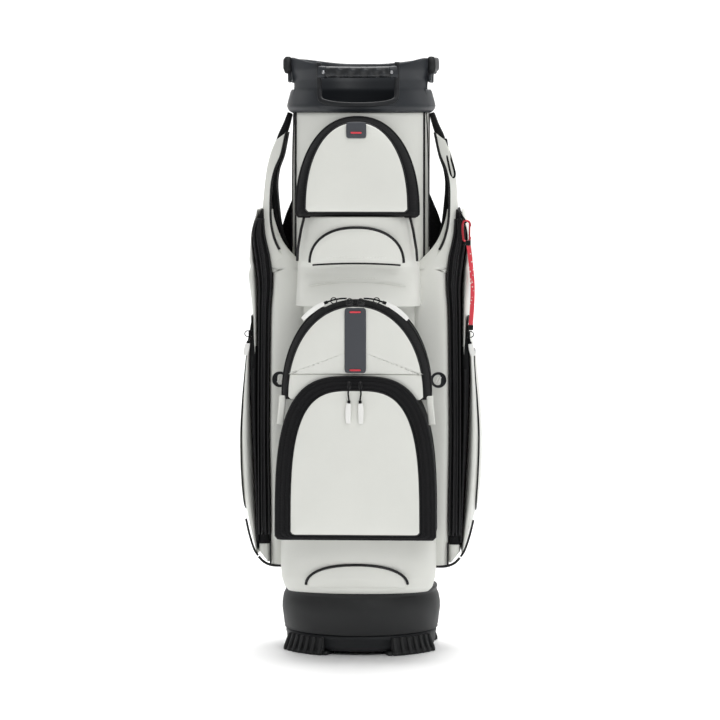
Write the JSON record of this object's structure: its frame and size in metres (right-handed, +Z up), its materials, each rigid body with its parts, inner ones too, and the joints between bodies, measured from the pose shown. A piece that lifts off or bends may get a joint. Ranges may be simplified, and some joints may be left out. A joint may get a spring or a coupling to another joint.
{
  "type": "golf cart bag",
  "caption": "Upright golf bag with a stiff tube, moulded collar and handles, arched front pockets, tall side pockets and a footed boot.",
  "frame": {"origin": "on the ground under the tube's axis, at the centre of the base's rest pad", "axes": "+Z up along the tube, -Y towards the pocketed front, +X to the side that carries the lanyard"},
  "size_m": [0.376, 0.3659, 0.93],
  "materials": {
    "white_cover": "satin",
    "black_gusset": "matte",
    "collar_plastic": "satin",
    "boot_rubber": "matte",
    "grip_rubber": "textured",
    "screw_steel": "satin",
    "liner_foil": "satin",
    "pad_foam": "matte",
    "label_grey": "matte",
    "zip_metal": "satin",
    "pull_tab": "satin",
    "clip_red": "anodised",
    "lanyard_web": "woven"
  },
  "bodies": {
    "bag": {"slip_pocket": "white_cover", "lower_panel": "white_cover", "side_pocket_right": "white_cover", "side_pocket_left": "white_cover", "wing_right": "white_cover", "wing_left": "white_cover", "body_shell": "white_cover", "spine_panel": "white_cover", "shoulder_strap": "white_cover", "upper_pocket": "black_gusset", "cooler_pocket": "black_gusset", "ball_pocket": "black_gusset", "pass_gusset_right": "black_gusset", "pass_gusset_left": "black_gusset", "web_right": "black_gusset", "web_left": "black_gusset", "divider_panels": "black_gusset", "top_collar": "collar_plastic", "top_divider": "collar_plastic", "base_pan": "collar_plastic", "base_ring": "collar_plastic", "base_boot": "boot_rubber", "foot_front_right": "boot_rubber", "foot_front_left": "boot_rubber", "foot_back_right": "boot_rubber", "foot_back_left": "boot_rubber", "front_handle_grip": "grip_rubber", "side_grip_right": "grip_rubber", "side_grip_left": "grip_rubber", "handle_screws": "screw_steel", "base_screws": "screw_steel", "stays": "screw_steel", "cooler_liner": "liner_foil", "base_pad": "pad_foam", "badges": "zip_metal"},
    "upper_flap": {"upper_flap": "white_cover", "upper_tab": "label_grey"},
    "slip_flap": {"slip_flap": "white_cover"},
    "cooler_flap": {"cooler_flap": "white_cover", "label_strap": "label_grey"},
    "ball_flap": {"ball_flap": "white_cover"},
    "side_flap_right": {"side_flap_right": "white_cover"},
    "side_flap_left": {"side_flap_left": "white_cover"},
    "carabiner": {"carabiner": "clip_red", "lanyard": "lanyard_web"},
    "carabiner_gate": {"carabiner_gate": "clip_red"},
    "ball_slider_right": {"ball_slider_right": "zip_metal"},
    "ball_pull_right": {"ball_pull_right": "pull_tab"},
    "ball_slider_left": {"ball_slider_left": "zip_metal"},
    "ball_pull_left": {"ball_pull_left": "pull_tab"},
    "cooler_slider_right": {"cooler_slider_right": "zip_metal"},
    "cooler_pull_right": {"cooler_pull_right": "pull_tab"},
    "cooler_slider_left": {"cooler_slider_left": "zip_metal"},
    "cooler_pull_left": {"cooler_pull_left": "pull_tab"},
    "side_slider_right": {"side_slider_right": "zip_metal"},
    "side_pull_right": {"side_pull_right": "pull_tab"},
    "side_slider_left": {"side_slider_left": "zip_metal"},
    "side_pull_left": {"side_pull_left": "pull_tab"}
  },
  "joints": [
    {"name": "upper_flap_hinge", "type": "hinge", "parent": "bag", "child": "upper_flap", "pos_m": [0, -0.146, 0.6875], "axis": [1, 0, 0], "range_deg": [0, 75]},
    {"name": "slip_flap_hinge", "type": "hinge", "parent": "bag", "child": "slip_flap", "pos_m": [0, -0.144, 0.6735], "axis": [1, 0, 0], "range_deg": [-60, 0]},
    {"name": "cooler_flap_hinge", "type": "hinge", "parent": "bag", "child": "cooler_flap", "pos_m": [0, -0.172, 0.4405], "axis": [1, 0, 0], "range_deg": [0, 75]},
    {"name": "ball_flap_hinge", "type": "hinge", "parent": "bag", "child": "ball_flap", "pos_m": [0, -0.19, 0.1945], "axis": [1, 0, 0], "range_deg": [0, 80]},
    {"name": "side_flap_right_hinge", "type": "hinge", "parent": "bag", "child": "side_flap_right", "pos_m": [0.1605, 0.078, 0.4], "axis": [0, 0, 1], "range_deg": [0, 55]},
    {"name": "side_flap_left_hinge", "type": "hinge", "parent": "bag", "child": "side_flap_left", "pos_m": [-0.1605, 0.078, 0.4], "axis": [0, 0, 1], "range_deg": [-55, 0]},
    {"name": "ball_slider_right_run", "type": "hinge", "parent": "ball_flap", "child": "ball_slider_right", "pos_m": [0, -0.1905, 0.315], "axis": [0, 1, 0], "range_deg": [0, 60]},
    {"name": "ball_pull_right_swing", "type": "hinge", "parent": "ball_slider_right", "child": "ball_pull_right", "pos_m": [0.0085, -0.196, 0.425], "axis": [1, 0, 0], "range_deg": [-80, 0]},
    {"name": "ball_slider_left_run", "type": "hinge", "parent": "ball_flap", "child": "ball_slider_left", "pos_m": [0, -0.1905, 0.315], "axis": [0, 1, 0], "range_deg": [-60, 0]},
    {"name": "ball_pull_left_swing", "type": "hinge", "parent": "ball_slider_left", "child": "ball_pull_left", "pos_m": [-0.0085, -0.196, 0.425], "axis": [1, 0, 0], "range_deg": [-80, 0]},
    {"name": "cooler_slider_right_run", "type": "hinge", "parent": "cooler_flap", "child": "cooler_slider_right", "pos_m": [0, -0.1725, 0.454], "axis": [0, 1, 0], "range_deg": [0, 45]},
    {"name": "cooler_pull_right_swing", "type": "hinge", "parent": "cooler_slider_right", "child": "cooler_pull_right", "pos_m": [0.01135, -0.178, 0.54973], "axis": [0.4036, 0, 0.9149], "range_deg": [-80, 0]},
    {"name": "cooler_slider_left_run", "type": "hinge", "parent": "cooler_flap", "child": "cooler_slider_left", "pos_m": [0, -0.1725, 0.454], "axis": [0, 1, 0], "range_deg": [-45, 0]},
    {"name": "cooler_pull_left_swing", "type": "hinge", "parent": "cooler_slider_left", "child": "cooler_pull_left", "pos_m": [-0.01135, -0.178, 0.54973], "axis": [-0.4036, 0, 0.9149], "range_deg": [0, 80]},
    {"name": "side_slider_right_run", "type": "slide", "parent": "side_flap_right", "child": "side_slider_right", "axis": [0, 0, -1], "range_m": [0, 0.15]},
    {"name": "side_pull_right_swing", "type": "hinge", "parent": "side_slider_right", "child": "side_pull_right", "pos_m": [0.17, -0.068, 0.502], "axis": [1, 0, 0], "range_deg": [-80, 0]},
    {"name": "side_slider_left_run", "type": "slide", "parent": "side_flap_left", "child": "side_slider_left", "axis": [0, 0, -1], "range_m": [0, 0.15]},
    {"name": "side_pull_left_swing", "type": "hinge", "parent": "side_slider_left", "child": "side_pull_left", "pos_m": [-0.17, -0.068, 0.502], "axis": [1, 0, 0], "range_deg": [-80, 0]},
    {"name": "carabiner_swing", "type": "hinge", "parent": "bag", "child": "carabiner", "pos_m": [0.168, -0.0753, 0.6717], "axis": [0, 1, 0], "range_deg": [-30, 15]},
    {"name": "carabiner_gate_hinge", "type": "hinge", "parent": "carabiner", "child": "carabiner_gate", "pos_m": [0.1714, -0.0753, 0.6441], "axis": [0, 1, 0], "range_deg": [-14, 0], "stiffness_Nm_per_rad": 0.01, "springref_deg": 8.59}
  ]
}
